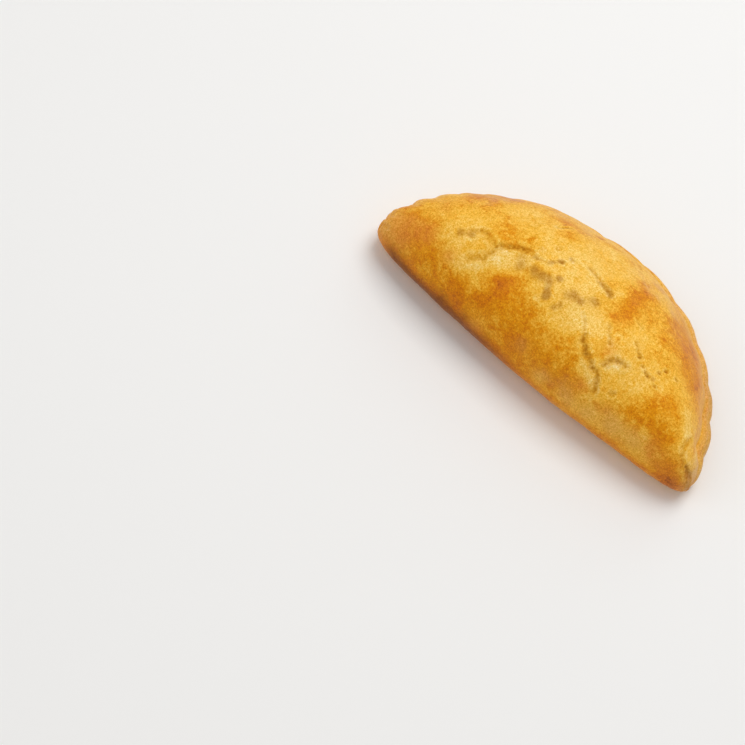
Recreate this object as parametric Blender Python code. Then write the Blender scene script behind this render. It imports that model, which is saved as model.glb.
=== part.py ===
"""A baked empanada: a half moon of dough, folded over its filling and crimped along its round side.

The body is lofted from closed rings, one for each section across its length. While it is shaped,
the two tips lie on the X axis, with the fold at -Y and the crimped rim at +Y. At the end its
middle moves to the origin, and it rests on the plane z = 0. Lengths are in metres.
"""

import math

import bmesh
import bpy
import numpy as np

# Outline, seen from above
LENGTH = 0.140  # from tip to tip
RIM_REACH = 0.0598  # from the line between the tips out to the crown of the rim
RIM_POWERS = (0.50, 0.63)  # at the left and the right tip: the lower, the blunter that end
SIDE_BLEND = 3.0  # how quickly the left half's form turns into the right one's
FOLD_REACH = 0.0067  # from the line between the tips out to the fold
FOLD_BULGE = 0.0038  # how much further out the fold is at its middle
FOLD_POWERS = (1.0, 2.3)  # the higher, the sooner the bulge dies out towards that end
FOLD_CORNER = 8  # exponent of the fold's turn into the tips

# Filled body
HEIGHT = 0.033
DOME_FOLD_POWER = 0.50  # roundness of the dome beside the fold
DOME_RIM_POWERS = (0.58, 0.695)  # and beside the rim, on the left and on the right
DOME_LEVEL = 2.4  # how far the crest stays level towards the tips
WIDEST_FOLD = 0.0115  # height of the side's widest line, at the fold
WIDEST_RIM = 0.0036
WIDEST_TIP = 0.0062
UNDERCUT_FOLD = 0.0115  # how far the side curls in before it meets the table
UNDERCUT_RIM = 0.0035

# Sealed rim
LIP_WIDTH = 0.0026
LIP_WIDTH_CORNER = 0.0056  # at the right tip, where the last crimp is tucked over
LIP_CORNER_START = 0.62  # share of the half length where it begins to widen
LIP_THICKNESS = 0.0032  # above the seam
LIP_ROUND = 0.0024
LIP_VALLEY = 0.0032  # softness of the valley between lip and dome
CRIMPS = 15
CRIMP_DRIFT = (1.22, 0.56)  # they are closer together at the left tip than past the crown
CRIMP_DEPTHS = (0.0024, 0.0006, 0.0010)  # at the left tip, the crown and the right tip
CRIMP_INSIDE = 0.60  # share of the depth that lies inside the plain outline
CRIMP_REACH = 0.0062  # how far in from the edge a crimp still shows
CRIMP_RISE = 0.45  # share of its depth that a crimp also lifts the lip
CRIMP_RUN_IN = 0.0050  # the tips themselves stay plain

# Slit that the tucked crimp leaves beside the right tip
SLIT_CENTRE = (0.0670, -0.0010)
SLIT_LENGTH = 0.0022
SLIT_WIDTH = 0.0010
SLIT_DEPTH = 0.0014
SLIT_TURN = math.radians(8)

# Uneven crust: wavelength along X and along Y, phase and height of each swell
SWELLS = (
    (0.047, 0.061, 0.15, 0.00042),
    (0.029, -0.037, 0.60, 0.00028),
    (0.019, 0.023, 0.35, 0.00018),
)
SWELL_FADE = 0.014  # they die out over this distance from the edge

# Fineness of the loft
STEPS_PER_CRIMP = 7
TOP_POINTS = 25
UNDERCUT_FOLD_POINTS = 6
UNDERCUT_RIM_POINTS = 4
NARROWEST_UNDERCUT = 0.45  # most of a section's width that either undercut may take
RIM_SAMPLES = 900
EDGE_ROUND = 0.003  # relief fades out over this distance from the edge
FLAT_WITHIN = 0.00002  # a point of the underside this close to the table lies on it

CRUST_COLOUR = (0.69, 0.36, 0.075, 1.0)
CRUST_ROUGHNESS = 0.55


def clear_scene():
    for item in list(bpy.data.objects):
        bpy.data.objects.remove(item)


def quarter_round(distance, radius):
    """Rises from 0 to 1 over the radius, like a quarter of a circle."""
    left = 1 - np.clip(distance / radius, 0, 1)
    return np.sqrt(1 - left**2)


def smooth_step(value):
    share = np.clip(value, 0, 1)
    return share**2 * (3 - 2 * share)


def smooth_larger(a, b, width):
    return 0.5 * (a + b + np.sqrt((a - b) ** 2 + width**2))


def left_to_right(t, values):
    """A value that differs between the two halves. Here t runs from -1 to 1, tip to tip."""
    left, right = values
    return left + (right - left) * (0.5 + 0.5 * np.tanh(SIDE_BLEND * t))


def fold_and_rim(t):
    """Y of the fold and of the rim at t, which runs from -1 at the left tip to 1 at the right."""
    power = left_to_right(t, RIM_POWERS)
    arch = np.clip(1 - t**2, 0, 1)
    corner = np.sqrt(np.clip(1 - np.abs(t) ** FOLD_CORNER, 0, 1))
    bulge = FOLD_BULGE * arch ** left_to_right(t, FOLD_POWERS)
    return -FOLD_REACH * corner - bulge, RIM_REACH * arch**power


def crimp_phase(place, length):
    """Counts the crimps up to a place along the rim. Their pitch changes along it."""
    share = place / length
    once, twice = CRIMP_DRIFT
    drift = once * np.sin(math.pi * share) + twice * np.sin(2 * math.pi * share)
    return CRIMPS * share + drift


class Rim:
    """The rim as closely spaced samples from the left tip to the right one."""

    def __init__(self):
        self.t = -np.cos(np.linspace(0, math.pi, RIM_SAMPLES))
        self.points = np.stack([self.t * LENGTH / 2, fold_and_rim(self.t)[1]], axis=1)
        steps = np.linalg.norm(np.diff(self.points, axis=0), axis=1)
        self.place = np.concatenate([[0], np.cumsum(steps)])
        self.length = self.place[-1]
        tangent = np.gradient(self.points, axis=0)
        tangent /= np.linalg.norm(tangent, axis=1, keepdims=True)
        self.outward = np.stack([-tangent[:, 1], tangent[:, 0]], axis=1)
        self.slope = tangent[:, 1] / tangent[:, 0]

    def nearest(self, x, y):
        """For each point: its distance from the rim, the place along it and the way outward."""
        flat = np.stack([x.ravel(), y.ravel()], axis=1)
        gaps = np.linalg.norm(flat[:, None, :] - self.points[None, :, :], axis=2)
        index = gaps.argmin(axis=1).reshape(x.shape)
        return gaps.min(axis=1).reshape(x.shape), self.place[index], self.outward[index]

    def sections(self):
        """The t of each section: every crimp gets the same number, with one in each notch."""
        phase = crimp_phase(self.place, self.length)
        wanted = np.linspace(0, CRIMPS, CRIMPS * STEPS_PER_CRIMP + 1)[1:-1]
        return np.interp(wanted, phase, self.t)


def crimp_wave(place, length):
    """How far the crimps push the edge out, or in at the notches between them."""
    depth = np.interp(place / length, (0, 0.5, 1), CRIMP_DEPTHS)
    ends = quarter_round(place, CRIMP_RUN_IN) * quarter_round(length - place, CRIMP_RUN_IN)
    return depth * ends * (np.abs(np.sin(math.pi * crimp_phase(place, length))) - CRIMP_INSIDE)


def swells(x, y):
    total = np.zeros_like(x)
    for wave_x, wave_y, phase, height in SWELLS:
        total += height * np.sin(2 * math.pi * (x / wave_x + y / wave_y + phase))
    return total


def slit(x, y):
    dx = x - SLIT_CENTRE[0]
    dy = y - SLIT_CENTRE[1]
    along = dx * math.cos(SLIT_TURN) + dy * math.sin(SLIT_TURN)
    across = dy * math.cos(SLIT_TURN) - dx * math.sin(SLIT_TURN)
    return SLIT_DEPTH * np.exp(-((along / SLIT_LENGTH) ** 2) - (across / SLIT_WIDTH) ** 2)


def widest_line(t, share):
    """Height of the side's widest line. The share runs from 0 at the fold to 1 at the rim."""
    level = np.sqrt(1 - np.abs(t) ** 3)
    fold = WIDEST_TIP + (WIDEST_FOLD - WIDEST_TIP) * level
    rim = WIDEST_TIP + (WIDEST_RIM - WIDEST_TIP) * level
    return fold + (rim - fold) * share


def dome(t, share, width, slope):
    """Height of the filled part above the side's widest line."""
    corner = smooth_step((t - LIP_CORNER_START) / (1 - LIP_CORNER_START))
    lip = LIP_WIDTH + (LIP_WIDTH_CORNER - LIP_WIDTH) * corner
    lip = np.minimum(lip * np.sqrt(1 + slope**2), 0.36 * width)
    inner = np.clip(share * width / (width - lip), 0, 1)
    rim_power = left_to_right(t, DOME_RIM_POWERS)
    crest = DOME_FOLD_POWER / (DOME_FOLD_POWER + rim_power)
    profile = inner**DOME_FOLD_POWER * (1 - inner) ** rim_power
    profile /= crest**DOME_FOLD_POWER * (1 - crest) ** rim_power
    ends = np.sqrt(1 - np.abs(t) ** DOME_LEVEL)
    return (HEIGHT - widest_line(t, crest)) * ends * profile


def crust_points(t, share, on_top, rim):
    """Points at t along the length and at a share of the width, on the top or the underside."""
    x = t * LENGTH / 2
    fold_y, rim_y = fold_and_rim(t)
    width = rim_y - fold_y
    y = fold_y + width * share
    slope = np.interp(t, rim.t, rim.slope)
    from_fold = width * share
    from_rim, place, outward = rim.nearest(x, y)

    widest = widest_line(t, share)
    inside = quarter_round(from_rim, EDGE_ROUND) * quarter_round(from_fold, EDGE_ROUND)
    lip = LIP_THICKNESS * quarter_round(from_rim, LIP_ROUND) * quarter_round(from_fold, 2 * EDGE_ROUND)
    top = smooth_larger(dome(t, share, width, slope), lip, LIP_VALLEY * np.sqrt(inside))
    swell = quarter_round(from_rim, SWELL_FADE) * quarter_round(from_fold, SWELL_FADE)
    top += swell * swells(x, y) - inside * slit(x, y)
    curl = quarter_round(from_fold, UNDERCUT_FOLD) * quarter_round(from_rim, UNDERCUT_RIM)

    wave = crimp_wave(place, rim.length) * np.exp(-((from_rim / CRIMP_REACH) ** 2))
    x = x + outward[..., 0] * wave
    y = y + outward[..., 1] * wave
    z = np.where(on_top, widest + top + CRIMP_RISE * wave * inside, widest * (1 - curl))
    z[z < FLAT_WITHIN] = 0
    return np.stack([x, y, z], axis=2)


def underside_shares(width, slope):
    """Where a section's underside has points, from the rim back to the fold."""
    rim_part = min(UNDERCUT_RIM * math.hypot(1, slope) / width, NARROWEST_UNDERCUT)
    fold_part = min(UNDERCUT_FOLD / width, NARROWEST_UNDERCUT)
    rim_steps = np.linspace(0, 1, UNDERCUT_RIM_POINTS + 1)[1:] ** 1.5
    fold_steps = np.linspace(1, 0, UNDERCUT_FOLD_POINTS + 1)[:-1] ** 1.5
    return np.concatenate([1 - 1.1 * rim_part * rim_steps, fold_part * fold_steps])


def crust_rings():
    rim = Rim()
    t = rim.sections()
    fold_y, rim_y = fold_and_rim(t)
    slopes = np.interp(t, rim.t, rim.slope)
    top = 0.5 - 0.5 * np.cos(np.linspace(0, math.pi, TOP_POINTS))
    under = [underside_shares(*section) for section in zip(rim_y - fold_y, slopes)]
    share = np.array([np.concatenate([top, row]) for row in under])
    on_top = np.arange(share.shape[1]) < TOP_POINTS
    return crust_points(np.repeat(t[:, None], share.shape[1], axis=1), share, on_top, rim)


def loft(rings, tips):
    """A closed shape from rings of as many points each, drawn together in a tip at both ends."""
    shape = bmesh.new()
    loops = [[shape.verts.new(point) for point in ring] for ring in rings]
    around = range(len(loops[0]))
    for ring, following in zip(loops, loops[1:]):
        for i in around:
            shape.faces.new((ring[i - 1], following[i - 1], following[i], ring[i]))
    for tip, ring in zip(tips, (loops[0], loops[-1][::-1])):
        pole = shape.verts.new(tip)
        for i in around:
            shape.faces.new((ring[i - 1], ring[i], pole))
    return shape


def centre_on_table(shape):
    points = np.array([vert.co for vert in shape.verts])
    low, high = points.min(axis=0), points.max(axis=0)
    middle = ((low[0] + high[0]) / 2, (low[1] + high[1]) / 2, low[2])
    bmesh.ops.translate(shape, verts=shape.verts, vec=[-value for value in middle])


def crust_material():
    material = bpy.data.materials.new("baked_crust")
    material.use_nodes = True
    shader = material.node_tree.nodes["Principled BSDF"]
    shader.inputs["Base Color"].default_value = CRUST_COLOUR
    shader.inputs["Roughness"].default_value = CRUST_ROUGHNESS
    shader.inputs["Metallic"].default_value = 0.0
    return material


def make_empanada():
    tips = [(side * LENGTH / 2, 0, WIDEST_TIP) for side in (-1, 1)]
    shape = loft(crust_rings(), tips)
    centre_on_table(shape)
    mesh = bpy.data.meshes.new("empanada")
    shape.to_mesh(mesh)
    shape.free()
    mesh.shade_smooth()
    mesh.set_sharp_from_angle(angle=math.radians(60))
    mesh.materials.append(crust_material())
    empanada = bpy.data.objects.new("empanada", mesh)
    bpy.context.scene.collection.objects.link(empanada)
    return empanada


clear_scene()
make_empanada()
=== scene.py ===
import math

import bpy
import numpy as np
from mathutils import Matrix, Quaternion, Vector


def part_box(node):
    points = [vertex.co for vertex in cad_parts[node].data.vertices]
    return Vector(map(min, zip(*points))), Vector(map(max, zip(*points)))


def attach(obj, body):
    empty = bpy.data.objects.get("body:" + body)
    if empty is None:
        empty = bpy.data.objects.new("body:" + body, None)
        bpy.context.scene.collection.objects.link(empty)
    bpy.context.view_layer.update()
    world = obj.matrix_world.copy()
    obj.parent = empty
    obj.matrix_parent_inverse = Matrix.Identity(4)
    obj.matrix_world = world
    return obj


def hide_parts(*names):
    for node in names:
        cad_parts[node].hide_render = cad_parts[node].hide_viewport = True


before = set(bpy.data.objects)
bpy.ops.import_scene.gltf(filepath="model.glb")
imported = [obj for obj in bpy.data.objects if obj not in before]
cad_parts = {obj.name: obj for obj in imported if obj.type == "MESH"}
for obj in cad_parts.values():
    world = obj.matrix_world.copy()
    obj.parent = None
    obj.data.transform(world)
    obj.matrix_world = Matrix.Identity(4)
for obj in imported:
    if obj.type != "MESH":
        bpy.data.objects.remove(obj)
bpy.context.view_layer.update()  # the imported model, in metres: one body "root" with one node, "empanada"
mm = 0.001
fullTurn = 2 * math.pi
print("frame: loaded")


# Node trees written as expressions

class Wire:  # one output of a node; arithmetic on it adds Math nodes
    def __init__(self, graph, socket):
        self.graph = graph
        self.socket = socket

    def other(self, name):  # another output of the same node
        return Wire(self.graph, self.socket.node.outputs[name])

    def __add__(self, value):
        return maths("ADD", self, value)

    def __sub__(self, value):
        return maths("SUBTRACT", self, value)

    def __mul__(self, value):
        return maths("MULTIPLY", self, value)

    def __truediv__(self, value):
        return maths("DIVIDE", self, value)

    def __pow__(self, value):
        return maths("POWER", self, value)

    def __rsub__(self, value):
        return maths("SUBTRACT", value, self)

    def __rtruediv__(self, value):
        return maths("DIVIDE", value, self)

    __radd__ = __add__
    __rmul__ = __mul__


class Graph:  # a node tree that grows node by node
    def __init__(self, tree):
        self.tree = tree

    def node(self, kind, settings=None, inputs=None, output=0):
        made = self.tree.nodes.new(kind)
        for name, value in (settings or {}).items():
            if name == "stops":
                setStops(made.color_ramp, value)
            else:
                setattr(made, name, value)
        for name, value in (inputs or {}).items():
            if isinstance(value, Wire):
                self.tree.links.new(value.socket, made.inputs[name])
            else:
                made.inputs[name].default_value = value
        return Wire(self, made.outputs[output]) if made.outputs else None


def setStops(scale, stops):
    while len(scale.elements) < len(stops):
        scale.elements.new(0.5)
    for element, (position, colour) in zip(scale.elements, stops):
        element.position = position
        element.color = linear(colour)


def linear(colour):  # a screen's red, green and blue, each 0 to 255, as a colour socket wants it
    shares = [value / 255 for value in colour]
    return [((s + 0.055) / 1.055) ** 2.4 if s > 0.04045 else s / 12.92 for s in shares] + [1]


def graphOf(values):
    return next(value.graph for value in values if isinstance(value, Wire))


def maths(operation, *values):
    settings = {"operation": operation}
    return graphOf(values).node("ShaderNodeMath", settings, dict(enumerate(values)))


def vectorMaths(operation, *values):
    settings = {"operation": operation}
    return graphOf(values).node("ShaderNodeVectorMath", settings, dict(enumerate(values)))


def scaled(direction, length):
    inputs = {"Vector": direction, "Scale": length}
    return direction.graph.node("ShaderNodeVectorMath", {"operation": "SCALE"}, inputs)


def vector(*values):
    return graphOf(values).node("ShaderNodeCombineXYZ", inputs=dict(zip("XYZ", values)))


def parts(wire):
    x = wire.graph.node("ShaderNodeSeparateXYZ", inputs={"Vector": wire}, output="X")
    return x, x.other("Y"), x.other("Z")


def clip(value, least=0.0, most=1.0):
    inputs = {"Value": value, "Min": least, "Max": most}
    return value.graph.node("ShaderNodeClamp", inputs=inputs)


def root(value):
    return maths("SQRT", value)


def absolute(value):
    return maths("ABSOLUTE", value)


def blend(first, second, share):
    return first + (second - first) * share


def ramp(value, start, end, before=0.0, after=1.0):  # a smooth change from the start to the end
    inputs = {"Value": value, "From Min": start, "From Max": end, "To Min": before, "To Max": after}
    return value.graph.node("ShaderNodeMapRange", {"interpolation_type": "SMOOTHSTEP"}, inputs)


def bell(distance, reach):  # 1 at no distance, 0.37 at the reach
    share = distance / reach
    return maths("EXPONENT", 0 - share * share)


def quarterRound(distance, radius):  # rises from 0 to 1 over the radius like a quarter of a circle
    left = 1 - clip(distance / radius)
    return root(1 - left * left)


def noise(place, grain, seed, detail=2.0, roughness=0.5):  # between -1 and 1; the grain is its size
    inputs = {"Vector": place, "W": seed, "Scale": 1 / grain, "Detail": detail}
    inputs["Roughness"] = roughness
    return place.graph.node("ShaderNodeTexNoise", {"noise_dimensions": "4D"}, inputs) * 2 - 1


def tinted(colour, tint, share):  # the Mix node takes its two colours at the sockets 6 and 7
    inputs = {0: share, 6: colour, 7: tint}
    return share.graph.node("ShaderNodeMix", {"data_type": "RGBA"}, inputs, output=2)


# The crust: a half moon of dough, folded over its filling and crimped along its round side

crust = {
    "sizes": {  # in metres, or plain numbers; each is an input of the node tree
        "length": 0.140,  # from tip to tip
        "tipSnap": 1.000001,  # brings the first and the last section exactly to the tips
        "rimReach": 0.0598,  # from the line between the tips to the crown of the rim
        "rimPowerLeft": 0.50,  # the lower, the blunter that end
        "rimPowerRight": 0.63,
        "sideBlend": 3.0,  # how quickly the left half's form turns into the right one's
        "foldReach": 0.0067,
        "foldBulge": 0.0038,
        "foldPowerLeft": 1.0,  # the higher, the sooner the bulge dies out towards that end
        "foldPowerRight": 2.3,
        "foldCorner": 8.0,
        "height": 0.033,
        "domeFoldPower": 0.50,  # roundness of the filled part beside the fold and the rim
        "domeRimPowerLeft": 0.58,
        "domeRimPowerRight": 0.695,
        "domeLevel": 2.4,  # the higher, the longer the dome stays high towards the tips
        "widestFold": 0.0115,  # height of the side's widest line
        "widestRim": 0.0036,
        "widestTip": 0.0062,
        "widestLevel": 3.0,
        "undercutFold": 0.0115,  # how far the underside curls up from the base
        "undercutRim": 0.0035,
        "edgeRound": 0.003,
        "lipWidth": 0.0026,  # the lip is the flat rim, where the two layers are pressed together
        "lipWidthCorner": 0.0056,
        "lipCornerStart": 0.62,
        "lipMostShare": 0.36,  # of the width from the fold to the rim
        "lipThickness": 0.0032,
        "lipRound": 0.0024,
        "lipValley": 0.0032,  # how softly the dome runs out into the lip
        "crimps": 15.0,
        "crimpDriftOnce": 1.22,  # they are closer together at the left tip than past the crown
        "crimpDriftTwice": 0.56,
        "crimpDepthLeft": 0.0024,
        "crimpDepthCrown": 0.0006,
        "crimpDepthRight": 0.0010,
        "crimpInside": 0.60,  # share of the depth that lies inside the plain outline
        "crimpReach": 0.0062,  # from the rim inwards
        "crimpRise": 0.45,  # up or down, as a share of the push to the side
        "crimpRunIn": 0.0050,  # they start this gently at both tips
        "swellFade": 0.014,  # the swells fade out this close to the fold and the rim
        "dents": 0.00032,  # hollows and bumps from broad to fine, up or down by this much
        "dentsGrain": 0.011,
        "ripples": 0.00015,
        "ripplesGrain": 0.004,
        "pimples": 0.00005,
        "pimplesGrain": 0.0013,
        "reliefStart": 0.0005,  # below this height the base stays flat on the table
        "reliefWhole": 0.006,
        "baseHollows": 0.00030,
        "baseHollowsGrain": 0.009,
        "lipLines": 0.00028,  # depth of the fine lines along the lip
        "lipLineOuter": 0.0015,  # their distance from the rim
        "lipLineInner": 0.0030,
        "lipLineWidthOuter": 0.00035,
        "lipLineWidthInner": 0.00040,
        "lipLineWander": 0.00035,
        "lipLineWanderGrain": 0.007,
        "lipLineShare": 0.6,  # how plain the lines are on the whole
        "lipLineBreaks": 0.8,
        "lipLineBreaksGrain": 0.005,
        "crackStep": 0.0003,  # a crack is cut into pieces of this length
        "crackWander": 0.0009,  # and each is pushed aside by up to this much
        "crackWanderGrain": 0.0017,
        "crackSeedX": 3.1,
        "crackSeedY": 8.7,
        "crackRagged": 0.9,  # how uneven its width is
        "crackRaggedGrain": 0.0013,
        "crackRaggedSeed": 5.5,
        "crackGaps": 1.4,
        "crackGapsGrain": 0.002,
        "crackGapsSeed": 9.5,
        "crackStart": 0.005,  # no crack shows below this height
        "crackWhole": 0.009,
        "crackLift": 0.00010,  # how far the crust stands up beside a crack
        "crackLiftPlace": 1.8,  # in reaches of the crack
        "crackLiftReach": 0.8,
        "weld": 1e-7,  # points this close are one: along the ring's seam and at the two tips
        "seed": 7.0,
        "rimSamples": 4000,
        "sections": 404,  # along the rim
        "topPoints": 184,  # across the top, from the fold to the rim
        "ringPoints": 244,  # across the top and back along the underside
    },
    "swells": (  # wavelength along X and along Y, phase and height
        (0.047, 0.061, 0.15, 0.00042),
        (0.029, -0.037, 0.60, 0.00028),
        (0.019, 0.023, 0.35, 0.00018),
    ),
    "cracks": (  # reach and depth, then points seen from above, all in millimetres
        (0.9, 0.6, (14, -21), (15.5, -23), (17.5, -24), (18.5, -25.5), (21, -26)),
        (0.8, 0.5, (21, -26), (22.5, -27), (25.5, -27), (26.5, -28), (28, -30)),
        (0.4, 0.25, (8.5, -16), (11, -17.5), (14, -21)),
        (1.1, 0.5, (-28.5, -17), (-27.5, -15.5), (-25, -13.5), (-22.5, -11.5), (-20, -10.5)),
        (0.8, 0.4, (-20, -10.5), (-18, -10.5), (-15.5, -11)),
        (0.5, 0.3, (-15.5, -11), (-13, -10), (-11, -9.5)),
        (1.0, 0.3, (-37.5, -19), (-38.5, -17), (-36.5, -15), (-34.5, -14.5), (-32.5, -15.5)),
        (1.1, 0.25, (-32.5, -15.5), (-30.5, -16), (-28.5, -17)),
        (1.2, 0.3, (-32.5, -25), (-31, -23.5), (-29, -22.5), (-28.5, -20.5), (-28, -18.5)),
        (0.8, 0.35, (-1, 0), (2, -0.5), (5, -1.5), (8, -2.5), (10.5, -3)),
        (0.45, 0.3, (17.5, -12.5), (18.5, -13.5), (20.5, -16), (22.5, -18)),
        (0.45, 0.3, (28, -11), (29.5, -12.5), (31.5, -14)),
        (0.4, 0.25, (22, -3), (24, -4), (26, -4.5)),
        (0.9, 0.5, (25.5, -23.5), (25.5, -22), (27, -20.5), (29, -20), (30.5, -20)),
        (0.5, 0.3, (32.5, -28), (34, -28)),
        (0.7, 0.25, (61, -19), (61.5, -23.5), (63, -25.5), (65, -26.5)),
        (1.0, 0.6, (66, -26), (68, -26)),  # slit of the tucked crimp
        (0.4, 0.15, (-68, -27), (-66, -27.5), (-64, -28)),
        (0.5, 0.3, (-20, 6.5), (-18.5, 9.5), (-17, 11.5)),
    ),
    "pits": (  # reach and depth, then the place seen from above, in millimetres
        (0.55, 0.6, (41, -10.5)),
        (0.4, 0.5, (40, -13)),
        (0.4, 0.5, (45, -9.5)),
        (0.45, 0.55, (36.5, -17)),
        (0.6, 0.65, (38, -17)),
        (0.45, 0.55, (39.5, -16.5)),
        (0.4, 0.5, (41.5, -18)),
        (0.45, 0.6, (31, -13.5)),
        (0.6, 0.6, (32, -14.5)),
        (0.4, 0.5, (34.5, -16)),
        (0.4, 0.4, (33.5, -27.5)),
        (0.5, 0.3, (22, -18)),
        (0.7, 0.45, (-9, -6)),
        (0.5, 0.3, (-7, -2.5)),
        (0.6, 0.3, (-13.5, -2.5)),
        (0.5, 0.2, (-17, -7)),
        (0.5, 0.2, (-13, -1.5)),
    ),
    "pitLength": 0.4,  # a pit is a crack as short as this
    "spots": {  # x, y, z and reach in millimetres, then strength
        "browned": (
            (-50.5, -24.5, 24.5, 5.5, 0.45),
            (-55.5, -28.5, 19.5, 4, 0.2),
            (-46.5, 3.5, 22.5, 3.5, 0.4),
            (63, -30, 15, 4.5, 0.9),
            (66, -29.5, 10.5, 3.5, 0.9),
            (59, -30.5, 17, 4, 0.35),
            (-18.5, -24.5, 29, 2.4, 0.85),
            (-18.5, -25, 28.5, 5.5, 0.35),
            (18.5, -7.5, 32, 4.5, 0.8),
            (16, 4, 29.5, 4, 0.5),
            (18, 10, 27, 3.5, 0.6),
            (16, -1, 31, 3, 0.45),
            (-52, -28.5, 21, 3.5, 0.4),
            (66, -28.5, 7, 4, 0.5),
            (-41, 9.5, 21.5, 3.5, 0.7),
            (-49, -0.5, 23.5, 3, 0.6),
            (-58.5, -12.5, 22, 3, 0.4),
            (-64, -19.5, 19, 2.5, 0.4),
            (-21.5, -12, 32.5, 2.2, 0.4),
            (68, -25.5, 13, 2.5, 0.6),
            (20.5, -11.5, 32, 2.5, 0.35),
            (56.5, -26.5, 23, 3.5, 0.3),
            (20.5, -33, 20, 3.5, 0.45),
            (-31, -32.5, 20, 4.5, 0.65),
            (-27, -33.5, 18, 4, 0.35),
            (-20.5, 13.5, 25.5, 3.5, 0.3),
            (-67, -32, 8, 5, 0.4),
            (-24, -13, 32, 2.5, 0.4),
            (-19.5, -11.5, 32.5, 2.5, 0.4),
            (57, -31, 20, 4, 0.4),
            (-9, 20.5, 21.5, 1, 0.8),
            (-49.5, -4.5, 25, 3, 0.5),
            (-43.5, 1.5, 25, 2.5, 0.4),
            (18.5, 22.5, 17, 3, 0.4),
            (17, 6.5, 29, 2, 0.7),
            (20, 4, 29.5, 2, 0.3),
            (60.5, -29, 17.5, 3, 0.3),
        ),
        # painted sheen: pale pink patches near the rim, where light grazes the crust
        "blush": (
            (18, 22, 17.5, 5, 0.5),
            (-50, -4, 24.5, 5, 0.3),
            (-46, 1, 24.5, 5, 0.5),
            (-41, 7, 22, 5, 0.5),
            (-35, 13, 20, 5, 0.3),
            (-18, 22, 20, 4, 0.3),
            (9, 19, 22, 4, 0.3),
            (14, 15, 23, 3, 0.6),
            (20, 14, 25, 3, 0.5),
            (27, 16, 21, 4, 0.6),
            (-24, 16, 23, 4, 0.6),
            (-12, 16, 25, 4, 0.4),
        ),
        "amber": (
            (-42, -29, 23, 10, 0.15),
            (-25, -29, 25, 12, 0.2),
            (-8, -29, 26, 12, 0.35),
            (8, -29, 26, 10, 0.35),
            (44, -26, 26, 10, 0.2),
            (-50, 4, 20, 12, 0.2),
            (-50, -13, 26.5, 6, 0.3),
            (-35, 12, 20, 10, 0.2),
            (33.5, -31.5, 22, 4.5, 0.5),
            (46.5, -25, 26.5, 5, 0.5),
            (50, -18, 28, 5, 0.5),
            (50, -26.5, 25, 5, 0.5),
            (-9.5, -31.5, 23, 7, 0.2),
            (-1, -29.5, 25.5, 7, 0.4),
            (8, -28, 27.5, 6, 0.4),
            (-15, -29, 26, 7, 0.45),
            (8, -33.5, 21, 5, 0.6),
            (-40, -30.5, 22.5, 7, 0.5),
            (19.5, -33, 21.5, 5, 0.8),
            (17, 1, 31, 12, 0.45),
            (22, 5, 28.5, 8, 0.4),
            (41, -24, 27.5, 3, 0.5),
            (33, 1, 29, 3, 0.4),
            (41.5, -12, 30, 3, 0.4),
            (43.5, -2, 26, 3.5, 0.5),
            (15, 13.5, 26, 4, 0.6),
            (7, 1, 31.5, 3.5, 0.6),
            (27.5, -16.5, 31.5, 3, 0.5),
            (31, 4, 26, 9, 0.35),
            (36, -5, 28, 9, 0.25),
            (23, -20.5, 31, 3.5, 0.8),
            (-32, -14, 31, 4, 0.5),
            (-34, -8, 30.5, 5, 0.3),
            (33.5, -12.5, 31.5, 3.5, 0.7),
            (23, -31, 23, 3, 0.8),
            (38, 2, 26, 4, 0.8),
            (25, -15, 31.5, 6, 0.5),
            (17, -34, 19, 4.5, 0.8),
            (-24, -10, 32, 6, 0.35),
            (-14.5, 6.5, 30.5, 4.5, 0.6),
        ),
        "pale": (
            (15, -10, 33, 13, 0.25),
            (2, -6, 33, 11, 0.3),
            (27, -13, 32, 11, 0.4),
            (-6, 6, 31, 9, 0.3),
            (-24.5, -19, 31, 4, 1.0),
            (-19, -13.5, 32, 4, 0.8),
            (51, -9, 25, 3.5, 0.5),
            (54.5, -15, 25, 3.5, 0.8),
            (58.5, -18.5, 23, 3.5, 0.6),
            (62.5, -24.5, 20.5, 3, 0.3),
            (8.5, -19.5, 31.5, 5, 0.5),
            (16.5, -16.5, 32, 6, 0.2),
            (24.5, -16, 32, 6, 0.4),
            (-5.5, -6, 33.5, 8, 0.6),
            (-0.5, -1, 32.5, 6, 0.5),
            (12, 0.5, 32, 2, 0.6),
            (-39.5, -24.5, 28, 4, 0.4),
            (-39.5, -12.5, 29.5, 7, 0.3),
            (43.5, -16.5, 29.5, 4, 0.4),
            (28, -22, 29.5, 2, 0.6),
            (-35, -26, 26.5, 4.5, 0.4),
            (-36, -30, 23, 4.5, 0.4),
            (-64.5, -28.5, 14.5, 6, 0.5),
            (-31, 4, 28, 7, 0.4),
            (-17, -1, 32, 6, 0.4),
            (-5.5, -22.5, 31, 3, 0.4),
            (21.5, 0.5, 30, 3, 0.5),
            (-12, -32, 22, 3.5, 0.4),
            (-34.5, -29, 24.5, 3, 0.5),
            (-29, -25.5, 27.5, 3.5, 0.7),
            (-25, -28.5, 25.5, 4, 0.6),
            (-38.5, -31, 21.5, 4, 0.45),
            (-44.5, -22, 27.5, 4.5, 0.6),
            (-35.5, -20, 29.5, 3.5, 0.6),
            (57, -29.5, 18, 3, 0.5),
            (-2, 14.5, 26, 4, 0.6),
            (50.5, -24, 26, 2.5, 0.5),
            (-5, -18.5, 33, 2.5, 0.5),
            (31.5, -30.5, 22, 2.5, 0.5),
            (6, -30, 26, 6, 0.4),
            (1, -26, 29.5, 6, 0.3),
            (8, 14, 27, 8, 0.3),
            (-48, -15, 26, 6, 0.4),
            (-4, -34, 19, 6, 0.25),
            (26, -29.5, 25, 3.5, 0.6),
            (38, -24, 28.5, 5, 0.4),
            (62, -22, 17, 6, 0.2),
            (50, -29, 21, 2.5, 0.5),
            (33, -4.5, 30.5, 3, 0.25),
            (36, -11.5, 31, 4, 0.3),
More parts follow.
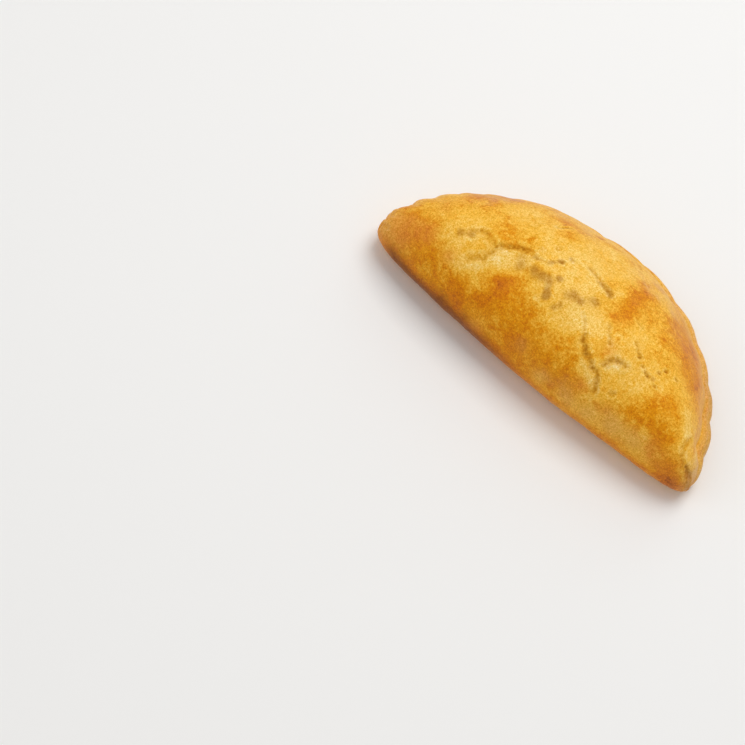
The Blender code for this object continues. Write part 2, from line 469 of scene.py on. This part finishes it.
            (-22.5, -16.5, 31.5, 3, 0.5),
        ),
        "ruddy": (
            (-17.5, -24, 29, 4, 0.35),
            (-65, -28, 14, 6, 0.7),
            (-59, -28, 17, 6, 0.6),
            (-54, -26, 22, 5, 0.7),
            (-53, -13, 25, 5, 0.4),
            (-38.5, -28, 25.5, 4, 0.5),
            (23.5, -31, 23, 4, 0.5),
            (24, -19.5, 31, 3, 0.5),
            (16.5, 3, 30.5, 4, 0.4),
            (18.5, -8, 32, 4, 0.4),
            (-50, -24.5, 24, 5, 0.6),
            (54, -30, 18, 5, 0.5),
            (59, -30, 16, 5, 0.5),
            (63.5, -29.5, 13.5, 4, 0.5),
        ),
        "tan": (
            (-18, -34.5, 14, 4.5, 0.3),
            (0, -33, 21, 4, 0.3),
            (11, -35, 16, 4, 0.6),
            (21.5, -34, 16.5, 4.5, 0.7),
            (31, -34, 16, 4.5, 0.6),
            (40, -33, 17.5, 4.5, 0.8),
            (48, -32, 17.5, 4.5, 0.6),
        ),
        "damp": (
            (-13, -15.5, 32.5, 2.2, 0.7),
            (-9.5, -15.5, 33, 2.2, 0.85),
            (-7, -15, 33.5, 1.8, 0.8),
            (-4, -20, 32.5, 1.4, 0.9),
            (-4.5, -19, 32.5, 1.4, 0.8),
            (-5, -12, 34, 1.5, 0.9),
            (0.5, -15, 33.5, 2, 0.5),
            (2.5, -13.5, 33.5, 2, 0.7),
            (5.5, -13.5, 33.5, 1.6, 0.8),
            (0.5, -21, 32, 1.4, 0.7),
            (1.5, -19, 32.5, 1.2, 0.6),
            (8.5, -10, 33.5, 2.5, 0.6),
            (5.5, -2, 32.5, 2, 0.5),
            (10, -3, 32.5, 2, 0.6),
            (-41, -20, 29, 2, 0.6),
            (-38, -18, 30, 2, 0.5),
            (-9, -6, 33, 1.3, 0.6),
            (-11, -8.5, 33.5, 1.2, 0.6),
            (-7.5, -2.5, 32.5, 1.2, 0.5),
            (-17.5, -17, 32, 2.5, 0.5),
            (-19.5, -14, 32, 2.5, 0.4),
            (8.5, -1.5, 32.5, 2, 0.4),
        ),
    },
    "spotWaves": (  # what bends the spots: order of axes, length, phases and push, in millimetres
        ([1, 2, 0], 2.4, (0.7, 2.1, 4.0), 1.0),
        ([2, 0, 1], 1.15, (2.0, 5.1, 0.4), 0.35),
    ),
    "spotEdges": {  # share of each look that is soft, and where the torn rest starts and is whole
        "browned": (0.8, 0.10, 0.65),
        "blush": (0.6, 0.10, 0.65),
        "amber": (0.6, 0.10, 0.65),
        "pale": (0.6, 0.10, 0.65),
        "ruddy": (0.6, 0.10, 0.65),
        "tan": (0.6, 0.10, 0.65),
        "damp": (0.3, 0.10, 0.70),
    },
    "spotTear": 0.25,  # how much more than others the torn rest is torn
    "dampTear": 0.8,
    "brownedHides": 0.7,  # how much less of amber and ruddy shows where the crust is browned
    "grains": {  # width in millimetres, seed, detail and roughness of each kind of noise
        "broad": (26, 1.0, 2.0, 0.5),
        "patches": (7, 2.0, 3.0, 0.6),
        "mottle": (2.2, 3.0, 3.0, 0.65),
        "crumb": (1.0, 4.0, 2.0, 0.6),
        "fine": (0.5, 5.0, 2.0, 0.7),
        "streaks": (1.1, 6.0, 3.0, 0.6),
    },
    "streakSpan": 40,  # the rim's length is squeezed into this many millimetres of streaks
    "mixes": {  # a plain amount, then how much of each grain is added to it
        "level": (0.41, {"broad": 0.10, "patches": 0.14, "mottle": 0.13, "crumb": 0.14, "fine": -0.06}),
        "islands": (0, {"patches": 1.0, "mottle": 0.5}),
        "torn": (0, {"patches": 0.35, "mottle": 0.22, "crumb": 0.15}),
        "patchy": (0, {"patches": 6.0, "mottle": 2.0}),
        "toasted": (0.5, {"patches": 1.0}),
        "flour": (0.35, {"patches": 0.9, "mottle": 0.5}),
        "rimStreaks": (0.75, {"streaks": 1.6}),
        "spotStreaks": (0.55, {"streaks": 1.6}),
        "crackWidth": (1.0, {"crumb": 0.8, "fine": 0.6}),
        "crackShown": (0.9, {"crumb": 0.6, "fine": 0.5}),
        "speckle": (0, {"fine": 0.50, "crumb": -0.12}),
        "egg": (0.5, {"patches": 0.6, "broad": 0.4}),
        "rough": (0.56, {"mottle": 0.08, "crumb": 0.05}),
        "bumps": (0, {"crumb": 0.55, "fine": 0.40, "mottle": 0.35}),
    },
    # Bands that follow an edge. First the edge, the distance from it, the reach and how torn the
    # band is. Then, for each change along it: the axis, from and to, the factor before and after.
    # The patchy axis is the height, made uneven so that nothing ends in a level line.
    "bands": {
        "rimFlank": (
            ("rim", 9.5, 5.5, 0.4),
            ("x", 22, 36, 0.1, 1),
            ("x", 48, 60, 1, 0.1),
            ("height", 3, 6, 0, 1),
        ),
        "rim": (("rim", 0, 4, 0),),
        # foldFlank, underFlank and foldEdge darken the lower fold side: partly browning, partly painted
        # shade that falls there
        "foldFlank": (("fold", 0, 12, 1), ("x", 0, 24, 1, 0)),
        "underFlank": (
            ("fold", 0, 4, 0),
            ("patchy", 8, 17, 1, 0),
            ("x", -15, 15, 1, 0.3),
            ("x", -68, -56, 0.25, 1),
        ),
        "foldEdge": (("fold", 0, 3, 0), ("height", 8, 13, 1, 0), ("x", -15, 15, 0, 1)),
        # painted sheen: a pale pink veil of light along the rim and at the right tip's lip
        "rimPaintedSheen": (
            ("rim", 0, 5.2, 0),
            ("height", 3, 6, 0, 1),
            ("x", 5, 24, 0.3, 1),
            ("x", 50, 60, 1, 0.5),
        ),
        "tipPaintedSheen": (("rim", 1.5, 2.2, 0), ("x", 42, 56, 0, 1)),
        "foldShade": (
            ("fold", 0, 4, 0),
            ("patchy", 8, 17, 1, 0),
            ("x", -15, 15, 1, 0.3),
            ("x", -68, -56, 0.25, 1),
            ("x", -67, -57, 0, 1),
            ("x", -30, 20, 1, 0),
        ),
        "tipShade": (("rim", 1, 2.5, 0), ("x", 42, 56, 0, 1)),
        "streaks": (("rim", 0, 6, 0),),
    },
    "bandShares": {  # how much each band adds to a look
        "level": {
            "rimFlank": 0.25,
            "rim": 0.05,
            "foldFlank": 0.12,
            "underFlank": 0.32,
            "foldEdge": 0.10,
        },
        "blush": {"rimPaintedSheen": 0.75, "tipPaintedSheen": 0.30},
        "shade": {"foldShade": 0.55, "tipShade": 0.15},
        "bumps": {"streaks": 0.5},
    },
    "levels": {  # how much darker each look bakes the crust
        "islands": 0.06,
        "browned": 0.32,
        "amber": 0.20,
        "pale": -0.22,
        "toasted": 0.20,
        "crackEdge": -0.10,
    },
    "islandEdge": (0.02, 0.22),  # islands of patches that are baked a little more than the rest
    "baseEdge": (0.2, 2.5),  # heights in millimetres between which the base's looks end
    "crackDark": 0.6,  # a crack this deep gets its full dark tint, partly painted shade and partly the crust's darker colour there, in millimetres
    "bake": (  # from hardly baked to dark, in a screen's red, green and blue
        (0.00, (252, 224, 160)),
        (0.20, (250, 205, 106)),
        (0.38, (244, 184, 60)),
        (0.54, (228, 149, 14)),
        (0.70, (214, 123, 8)),
        (0.85, (186, 96, 20)),
        (1.00, (130, 66, 20)),
    ),
    "tints": {  # laid over the baked colour in this order: share and colour
        # the first tint is painted sheen, a pale pink veil of light along the rim
        "blush": (1.0, (230, 176, 110)),
        "ruddy": (0.6, (226, 146, 68)),
        "tan": (0.8, (228, 170, 80)),
        "damp": (0.75, (178, 118, 34)),
        # the crack tint is partly painted shade in the cracks, darker the deeper they are, and partly the
        # crust's own darker colour
        "crack": (0.75, (156, 94, 6)),
        "flour": (0.45, (244, 222, 176)),
    },
    "speckleMost": 0.2,  # lighter or darker
    "speckleShares": (1.0, 1.6, 4.5),  # of red, green and blue: the darker specks are redder as well
    "eggHeights": (8, 18),  # the egg wash starts and is whole at these heights, in millimetres
    "eggCoat": 0.04,
    "eggSmooth": 0.08,  # taken off the roughness
    "crackRough": 0.15,  # added to it
    "bump": {"Strength": 0.5, "Distance": 0.00012},  # the distance is in metres
    "sheenColour": (255, 238, 214),
    "surface": {
        "Coat Roughness": 0.35,
        "Subsurface Weight": 0.06,
        "Subsurface Scale": 0.002,
        "Subsurface Radius": (1.0, 0.5, 0.2),
        "Specular IOR Level": 0.05,
        "Sheen Weight": 0.26,
        "Sheen Roughness": 0.4,
    },
}


def leftToRight(t, sizes, name):  # a size that differs between the two halves
    turn = 0.5 + 0.5 * maths("TANH", sizes["sideBlend"] * t)
    return blend(sizes[name + "Left"], sizes[name + "Right"], turn)


def outline(t, sizes):  # Y of the fold and of the rim, for t from -1 at the left tip to 1 at the right
    power = leftToRight(t, sizes, "rimPower")
    arch = clip(1 - t * t)
    corner = root(clip(1 - absolute(t) ** sizes["foldCorner"]))
    bulge = sizes["foldBulge"] * arch ** leftToRight(t, sizes, "foldPower")
    fold = 0 - sizes["foldReach"] * corner - bulge
    return fold, sizes["rimReach"] * arch**power


def keep(geometry, name, value, kind="FLOAT"):  # stores a value on the points
    inputs = {"Geometry": geometry, "Name": name, "Value": value}
    return geometry.graph.node("GeometryNodeStoreNamedAttribute", {"data_type": kind}, inputs)


def kept(graph, name, kind="FLOAT"):
    return graph.node("GeometryNodeInputNamedAttribute", {"data_type": kind}, {"Name": name})


def moved(geometry, **inputs):
    inputs["Geometry"] = geometry
    return geometry.graph.node("GeometryNodeSetPosition", inputs=inputs)


def pathTo(curve, place, names):  # distance from a path, and the values kept on it there
    graph = place.graph
    path = graph.node("GeometryNodeCurveToMesh", inputs={"Curve": curve})
    aim = {0: path, "Sample Position": place}
    distance = graph.node("GeometryNodeProximity", {"target_element": "EDGES"}, aim, "Distance")
    nearest = graph.node("GeometryNodeSampleNearest", {"domain": "POINT"}, aim)
    found = [distance]
    for name, kind in names.items():
        inputs = {"Geometry": path, "Value": kept(graph, name, kind), "Index": nearest}
        found.append(graph.node("GeometryNodeSampleIndex", {"data_type": kind}, inputs))
    return found


def rimCurve(graph, sizes):
    step = graph.node("GeometryNodeInputIndex") / (sizes["rimSamples"] - 1)
    t = 0 - maths("COSINE", step * math.pi)
    line = graph.node("GeometryNodeMeshLine", inputs={"Count": sizes["rimSamples"]})
    line = moved(line, Position=vector(t * sizes["length"] / 2, outline(t, sizes)[1], 0))
    curve = graph.node("GeometryNodeMeshToCurve", inputs={"Mesh": line})
    length = graph.node("GeometryNodeSplineParameter", output="Length")
    curve = keep(curve, "rimPlace", length)
    return keep(curve, "rimWay", graph.node("GeometryNodeInputTangent"), "FLOAT_VECTOR")


def spread(share):  # closer together towards both edges, where the crust turns over
    return 0.5 - 0.5 * maths("COSINE", share * math.pi)


def crimpWave(place, length, sizes):  # how far the crimps push the edge out, or in between them
    share = place / length
    left = blend(sizes["crimpDepthLeft"], sizes["crimpDepthCrown"], clip(2 * share))
    depth = blend(left, sizes["crimpDepthRight"], clip(2 * share - 1))
    runIn = sizes["crimpRunIn"]
    ends = quarterRound(place, runIn) * quarterRound(length - place, runIn)
    drift = sizes["crimpDriftOnce"] * maths("SINE", share * math.pi)
    drift = drift + sizes["crimpDriftTwice"] * maths("SINE", share * fullTurn)
    phase = sizes["crimps"] * share + drift
    return depth * ends * (absolute(maths("SINE", phase * math.pi)) - sizes["crimpInside"])


def swellHeight(x, y):
    total = 0
    for waveX, waveY, phase, height in crust["swells"]:
        total = total + height * maths("SINE", (x / waveX + y / waveY + phase) * fullTurn)
    return total


def widestLine(t, share, sizes):
    level = root(clip(1 - absolute(t) ** sizes["widestLevel"]))
    fold = blend(sizes["widestTip"], sizes["widestFold"], level)
    rim = blend(sizes["widestTip"], sizes["widestRim"], level)
    return blend(fold, rim, share)


def dome(t, share, width, way, sizes):  # height of the filled part above the side's widest line
    corner = ramp(t, sizes["lipCornerStart"], 1.0)
    lip = blend(sizes["lipWidth"], sizes["lipWidthCorner"], corner)
    lip = lip / maths("MAXIMUM", absolute(way), 0.0001)  # measured across it where the rim slants
    lip = maths("MINIMUM", lip, sizes["lipMostShare"] * width)
    inner = clip(share * width / (width - lip))
    foldPower, rimPower = sizes["domeFoldPower"], leftToRight(t, sizes, "domeRimPower")
    crest = foldPower / (foldPower + rimPower)
    profile = inner**foldPower * (1 - inner) ** rimPower
    profile = profile / (crest**foldPower * (1 - crest) ** rimPower)
    ends = root(clip(1 - absolute(t) ** sizes["domeLevel"]))
    return (sizes["height"] - widestLine(t, crest, sizes)) * ends * profile


def gridPlaces(graph, sizes):  # share along the rim, 1 if on top or 0, share from the fold to the rim
    index = graph.node("GeometryNodeInputIndex")
    section = maths("FLOOR", index / sizes["ringPoints"])
    around = maths("MODULO", index, sizes["ringPoints"])
    lastTop = sizes["topPoints"] - 1
    onTop = maths("LESS_THAN", around, sizes["topPoints"] - 0.5)
    under = clip((around - lastTop) / (sizes["ringPoints"] - 1 - lastTop))
    share = onTop * spread(clip(around / lastTop)) + (1 - onTop) * (1 - spread(under))
    return section / (sizes["sections"] - 1), onTop, share


def bodyGrid(graph, sizes):  # a closed ring round the body for each section along the rim
    counts = {"Vertices X": sizes["sections"], "Vertices Y": sizes["ringPoints"]}
    grid = graph.node("GeometryNodeMeshGrid", inputs=counts)
    along, onTop, share = gridPlaces(graph, sizes)
    rim = rimCurve(graph, sizes)
    rimLength = graph.node("GeometryNodeCurveLength", inputs={"Curve": rim})
    aim = {"Curves": rim, "Factor": along}
    start = graph.node("GeometryNodeSampleCurve", {"mode": "FACTOR"}, aim, "Position")
    way = parts(start.other("Tangent"))[0]
    t = clip(parts(start)[0] * 2 * sizes["tipSnap"] / sizes["length"], -1.0, 1.0)
    x = t * sizes["length"] / 2
    fold, rimY = outline(t, sizes)
    width = rimY - fold
    y = fold + width * share
    fromFold = width * share
    names = {"rimPlace": "FLOAT", "rimWay": "FLOAT_VECTOR"}
    fromRim, place, rimWay = pathTo(rim, vector(x, y, 0), names)

    edge = sizes["edgeRound"]
    inside = quarterRound(fromRim, edge) * quarterRound(fromFold, edge)
    lip = sizes["lipThickness"] * quarterRound(fromRim, sizes["lipRound"])
    lip = lip * quarterRound(fromFold, 2 * edge)
    filled = dome(t, share, width, way, sizes)
    valley = sizes["lipValley"] * root(inside)
    gap = filled - lip
    top = 0.5 * (filled + lip + root(gap * gap + valley * valley))  # the higher one, with a soft valley
    swell = quarterRound(fromRim, sizes["swellFade"]) * quarterRound(fromFold, sizes["swellFade"])
    widest = widestLine(t, share, sizes)
    curl = quarterRound(fromFold, sizes["undercutFold"]) * quarterRound(fromRim, sizes["undercutRim"])
    wave = crimpWave(place, rimLength, sizes) * bell(fromRim, sizes["crimpReach"])
    upper = widest + top + swell * swellHeight(x, y) + sizes["crimpRise"] * wave * inside
    z = onTop * upper + (1 - onTop) * widest * (1 - curl)
    wayX, wayY, _ = parts(rimWay)
    shaped = moved(grid, Position=vector(x - wayY * wave, y + wayX * wave, z))
    values = {"fromRim": fromRim, "fromFold": fromFold, "along": place / rimLength}
    for name, value in values.items():
        shaped = keep(shaped, name, value)
    return shaped


def fitted(geometry, sizes):  # fills the frame's box exactly
    graph = geometry.graph
    least = graph.node("GeometryNodeBoundBox", inputs={"Geometry": geometry}, output="Min")
    span = vectorMaths("SUBTRACT", least.other("Max"), least)
    wanted = vectorMaths("SUBTRACT", sizes["boxHigh"], sizes["boxLow"])
    place = vectorMaths("SUBTRACT", graph.node("GeometryNodeInputPosition"), least)
    place = vectorMaths("MULTIPLY_ADD", place, vectorMaths("DIVIDE", wanted, span), sizes["boxLow"])
    return moved(geometry, Position=place)


def varied(place, sizes, name, seed):  # noise of a size's own grain, up or down by that size
    return sizes[name] * noise(place, sizes[name + "Grain"], seed)


def withCracks(geometry, sizes):  # keeps a crack's or pit's depth at each place, and its lifted edge
    graph = geometry.graph
    here = graph.node("GeometryNodeInputPosition")
    source = {"Object": sizes["crackPaths"]}
    paths = graph.node("GeometryNodeObjectInfo", inputs=source, output="Geometry")
    paths = graph.node("GeometryNodeMeshToCurve", inputs={"Mesh": paths})
    steps = {"Curve": paths, "Length": sizes["crackStep"]}
    paths = graph.node("GeometryNodeResampleCurve", {"mode": "LENGTH"}, steps)
    seeds = (sizes["crackSeedX"], sizes["crackSeedY"])
    sideways = [varied(here, sizes, "crackWander", seed) for seed in seeds]
    paths = moved(paths, Offset=vector(*sideways, 0))
    x, y, z = parts(here)
    names = {"reach": "FLOAT", "depth": "FLOAT"}
    distance, reach, depth = pathTo(paths, vector(x, y, 0), names)
    ragged = 1 + varied(here, sizes, "crackRagged", sizes["crackRaggedSeed"])
    whole = clip(1 + varied(here, sizes, "crackGaps", sizes["crackGapsSeed"]))
    whole = whole * ramp(z, sizes["crackStart"], sizes["crackWhole"])
    beside = bell(distance - sizes["crackLiftPlace"] * reach, sizes["crackLiftReach"] * reach)
    geometry = keep(geometry, "crackEdge", beside * whole)
    return keep(geometry, "crackDepth", bell(distance * ragged, reach) * whole * depth)


def relief(graph, sizes):  # how far the finished surface stands out from the smooth one
    here = graph.node("GeometryNodeInputPosition")
    names = ("dents", "ripples", "pimples", "lipLineWander", "lipLineBreaks", "baseHollows")
    uneven = {name: varied(here, sizes, name, sizes["seed"] + i) for i, name in enumerate(names)}
    free = ramp(parts(here)[2], sizes["reliefStart"], sizes["reliefWhole"])
    rough = uneven["dents"] + uneven["ripples"] + uneven["pimples"]
    fromRim = kept(graph, "fromRim") + uneven["lipLineWander"]
    lines = 0
    for side in ("Outer", "Inner"):
        lines = lines + bell(fromRim - sizes["lipLine" + side], sizes["lipLineWidth" + side])
    lines = lines * clip(sizes["lipLineShare"] + uneven["lipLineBreaks"])
    hollows = (1 - free) * clip(uneven["baseHollows"])
    cracks = kept(graph, "crackEdge") * sizes["crackLift"] - kept(graph, "crackDepth")
    return free * (rough - lines * sizes["lipLines"]) - hollows + cracks


def treeInputs(graph, values):  # a named input of the tree for each value
    kinds = {float: "Float", int: "Int", Vector: "Vector"}
    kinds |= {bpy.types.Object: "Object", bpy.types.Material: "Material"}
    for name, value in values.items():
        kind = "NodeSocket" + kinds[type(value)]
        graph.tree.interface.new_socket(name, in_out="INPUT", socket_type=kind)
    entry = graph.tree.nodes.new("NodeGroupInput")
    return {name: Wire(graph, entry.outputs[name]) for name in values}


def crustTree(values):
    graph = Graph(bpy.data.node_groups.new("crustShape", "GeometryNodeTree"))
    sizes = treeInputs(graph, values)
    body = fitted(bodyGrid(graph, sizes), sizes)
    seams = {"Geometry": body, "Distance": sizes["weld"]}
    body = graph.node("GeometryNodeMergeByDistance", inputs=seams)
    body = withCracks(body, sizes)
    normal = graph.node("GeometryNodeInputNormal")
    body = moved(body, Offset=scaled(normal, relief(graph, sizes)))
    body = graph.node("GeometryNodeSetShadeSmooth", inputs={"Geometry": body})
    body = graph.node("GeometryNodeRealizeInstances", inputs={"Geometry": body})
    finished = {"Geometry": body, "Material": sizes["finish"]}
    body = graph.node("GeometryNodeSetMaterial", inputs=finished)
    graph.tree.interface.new_socket("Geometry", in_out="OUTPUT", socket_type="NodeSocketGeometry")
    graph.node("NodeGroupOutput", inputs={"Geometry": body})
    return graph.tree


def crackPaths():  # the cracks and pits as open lines on the plane z = 0
    points, edges, reaches, depths = [], [], [], []
    end = crust["pitLength"]
    pits = [(reach, depth, (x, y), (x + end, y)) for reach, depth, (x, y) in crust["pits"]]
    for reach, depth, *path in [*crust["cracks"], *pits]:
        first = len(points)
        points += [(x * mm, y * mm, 0) for x, y in path]
        edges += [(i, i + 1) for i in range(first, len(points) - 1)]
        reaches += [reach * mm] * len(path)
        depths += [depth * mm] * len(path)
    mesh = bpy.data.meshes.new("crackPaths")
    mesh.from_pydata(points, edges, [])
    for name, values in (("reach", reaches), ("depth", depths)):
        mesh.attributes.new(name, "FLOAT", "POINT").data.foreach_set("value", values)
    return placed(bpy.data.objects.new("crackPaths", mesh))


def placed(item):
    bpy.context.scene.collection.objects.link(item)
    return item


def grown(name, values, tree):  # the plain mesh that a tree makes, in an object of its own
    piece = placed(bpy.data.objects.new(name, bpy.data.meshes.new(name)))
    modifier = piece.modifiers.new(name, "NODES")
    modifier.node_group = tree
    for item in tree.interface.items_tree:
        if item.in_out == "INPUT":
            modifier[item.identifier] = values[item.name]
    evaluated = piece.evaluated_get(bpy.context.evaluated_depsgraph_get())
    mesh = bpy.data.meshes.new_from_object(evaluated)
    piece.modifiers.remove(modifier)
    piece.data = mesh
    return piece


def warped(points):  # pushed to and fro, so that no spot is round
    pushes = [
        push * np.sin(points[:, axes] / length + phases)
        for axes, length, phases, push in crust["spotWaves"]
    ]
    return points + sum(pushes)


def paint(mesh, name, spots):  # keeps how much of a look each point has, where soft spots add up
    points = np.empty(3 * len(mesh.vertices))
    mesh.vertices.foreach_get("co", points)
    points = warped(points.reshape(-1, 3) / mm)
    left = np.ones(len(points))
    for x, y, z, reach, strength in spots:
        distance = np.linalg.norm(points - warped(np.array([(x, y, z)])), axis=1)
        left *= 1 - strength * np.exp(-((distance / reach) ** 2))
    mesh.attributes.new(name, "FLOAT", "POINT").data.foreach_set("value", 1 - left)


def crustMaterial():
    material = bpy.data.materials.new("bakedCrust")
    material.use_nodes = True
    material.node_tree.nodes.clear()
    graph = Graph(material.node_tree)

    def shown(name):
        return graph.node("ShaderNodeAttribute", {"attribute_name": name}, output="Fac")

    place = graph.node("ShaderNodeTexCoord", output="Object")
    alongRim = vector(shown("along") * crust["streakSpan"] * mm, shown("fromRim"), 0)
    grains = {}
    for name, (width, *pattern) in crust["grains"].items():
        grains[name] = noise(alongRim if name == "streaks" else place, width * mm, *pattern)

    def grainMix(name):
        plain, shares = crust["mixes"][name]
        return sum((share * grains[grain] for grain, share in shares.items()), plain)

    x, _, height = parts(scaled(place, 1 / mm))
    axes = {"x": x, "height": height, "patchy": height + grainMix("patchy")}
    edges = {"rim": shown("fromRim") / mm, "fold": shown("fromFold") / mm}
    torn = grainMix("torn")  # breaks up the edge of every patch

    def band(name):
        (edge, distance, reach, tear), *changes = crust["bands"][name]
        amount = bell(edges[edge] - distance, reach) * (1 + tear * torn)
        for axis, *change in changes:
            amount = amount * ramp(axes[axis], *change)
        return amount

    def bands(look):
        return sum(share * band(name) for name, share in crust["bandShares"][look].items())

    def patch(name):  # the spots of a look, partly soft and for the rest with a torn edge
        soft, start, whole = crust["spotEdges"][name]
        amount = shown(name) * (1 + torn)
        return soft * amount + (1 - soft) * ramp(amount + crust["spotTear"] * torn, start, whole)

    # how far each place is baked: golden in general, more at the rim and the tips; along the lower fold
    # side the darkening is partly browning and partly painted shade
    base = ramp(height, *crust["baseEdge"], 1, 0)
    browned = patch("browned")
    unbrowned = 1 - crust["brownedHides"] * browned
    looks = {
        "islands": ramp(grainMix("islands"), *crust["islandEdge"], -0.5, 0.5),
        "browned": browned,
        "amber": patch("amber") * unbrowned,
        "pale": patch("pale"),
        "toasted": base * grainMix("toasted"),
        "crackEdge": shown("crackEdge"),
    }
    level = grainMix("level") + bands("level")
    for name, share in crust["levels"].items():
        level = level + share * looks[name]
    colour = graph.node("ShaderNodeValToRGB", {"stops": crust["bake"]}, {"Fac": clip(level)})

    # partly painted shade in the cracks, darker the deeper they are, partly darker crust
    crack = clip(shown("crackDepth") / (crust["crackDark"] * mm) * grainMix("crackWidth"))
    crack = crack * clip(grainMix("crackShown"))
    # painted sheen along the rim and in spots near it, broken into streaks
    blush = bands("blush") * clip(grainMix("rimStreaks"))
    looks = {
        "blush": blush + patch("blush") * clip(grainMix("spotStreaks")),
        "ruddy": patch("ruddy") * unbrowned,
        "tan": patch("tan"),
        "damp": clip(patch("damp") * (1 + crust["dampTear"] * torn)),
        "crack": crack,
        "flour": clip(base * grainMix("flour")),
    }
    for name, (share, tint) in crust["tints"].items():
        colour = tinted(colour, linear(tint), share * looks[name])
    speckle = clip(grainMix("speckle"), -crust["speckleMost"], crust["speckleMost"])
    specks = vector(*(1 + share * speckle for share in crust["speckleShares"]))
    colour = scaled(vectorMaths("MULTIPLY", colour, specks), 1 - bands("shade"))

    egg = clip(grainMix("egg")) * ramp(height, *crust["eggHeights"]) * (1 - crack)
    rough = grainMix("rough") + crust["crackRough"] * crack - crust["eggSmooth"] * egg
    bumps = {"Height": grainMix("bumps") + grains["streaks"] * bands("bumps")}
    finish = {"Base Color": colour, "Roughness": rough, "Coat Weight": crust["eggCoat"] * egg}
    finish["Normal"] = graph.node("ShaderNodeBump", inputs=crust["bump"] | bumps)
    finish["Sheen Tint"] = linear(crust["sheenColour"])
    shader = graph.node("ShaderNodeBsdfPrincipled", inputs=crust["surface"] | finish)
    graph.node("ShaderNodeOutputMaterial", inputs={"Surface": shader})
    return material


def makeCrust():
    low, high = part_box("empanada")
    paths = crackPaths()
    values = crust["sizes"] | {"boxLow": low, "boxHigh": high}
    values |= {"crackPaths": paths, "finish": crustMaterial()}
    piece = grown("crust", values, crustTree(values))
    bpy.data.objects.remove(paths)
    for name, spots in crust["spots"].items():
        paint(piece.data, name, spots)
    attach(piece, "root")
    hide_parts("empanada")
    return piece


# Studio: a plain pale floor, soft lights and the photograph's view

studio = {
    "floorSize": 3.0,
    "floorColour": (246, 245, 243),
    "floorRoughness": 0.9,
    "worldColour": (255, 255, 255),
    "worldStrength": 0.42,
    "lights": {  # place, width in metres and power in watts; each is aimed at the crust
        "key": ((0.05, 0.35, 1.05), 0.7, 6.2),
        "fill": ((-0.7, -0.9, 1.0), 1.2, 3.6),
        "back": ((-0.3, 1.1, 0.7), 0.8, 1.5),
    },
}

view = {
    "aim": (-0.0293, -0.0729, 0.0120),
    "azimuth": 30.03,  # degrees from -Y towards +X
    "elevation": 58.34,
    "roll": 15.12,
    "distance": 0.577,
    "lens": 85.0,
}


def makeFloor():
    half = studio["floorSize"] / 2
    corners = [(-half, -half, 0), (half, -half, 0), (half, half, 0), (-half, half, 0)]
    mesh = bpy.data.meshes.new("floor")
    mesh.from_pydata(corners, [], [(0, 1, 2, 3)])
    material = bpy.data.materials.new("palePaper")
    material.use_nodes = True
    shader = material.node_tree.nodes["Principled BSDF"]
    shader.inputs["Base Color"].default_value = linear(studio["floorColour"])
    shader.inputs["Roughness"].default_value = studio["floorRoughness"]
    mesh.materials.append(material)
    placed(bpy.data.objects.new("floor", mesh))


def makeLights():
    world = bpy.data.worlds.new("studio")
    world.use_nodes = True
    background = world.node_tree.nodes["Background"]
    background.inputs["Color"].default_value = linear(studio["worldColour"])
    background.inputs["Strength"].default_value = studio["worldStrength"]
    bpy.context.scene.world = world
    for name, (place, width, power) in studio["lights"].items():
        light = bpy.data.lights.new(name, "AREA")
        light.size = width
        light.energy = power
        lamp = placed(bpy.data.objects.new(name, light))
        lamp.location = place
        lamp.rotation_euler = (-Vector(place)).to_track_quat("-Z", "Y").to_euler()


def makeCamera():
    data = bpy.data.cameras.new("camera")
    data.lens = view["lens"]
    camera = placed(bpy.data.objects.new("camera", data))
    azimuth, elevation = math.radians(view["azimuth"]), math.radians(view["elevation"])
    level = math.cos(elevation)
    back = Vector((math.sin(azimuth) * level, -math.cos(azimuth) * level, math.sin(elevation)))
    camera.location = Vector(view["aim"]) + back * view["distance"]
    turn = (-back).to_track_quat("-Z", "Y") @ Quaternion((0, 0, 1), math.radians(view["roll"]))
    camera.rotation_euler = turn.to_euler()
    bpy.context.scene.camera = camera


piece = makeCrust()
print("crust:", len(piece.data.vertices), "points")
makeFloor()
makeLights()
makeCamera()
bpy.context.scene.view_settings.view_transform = "Standard"
print("studio: floor, lights and camera")
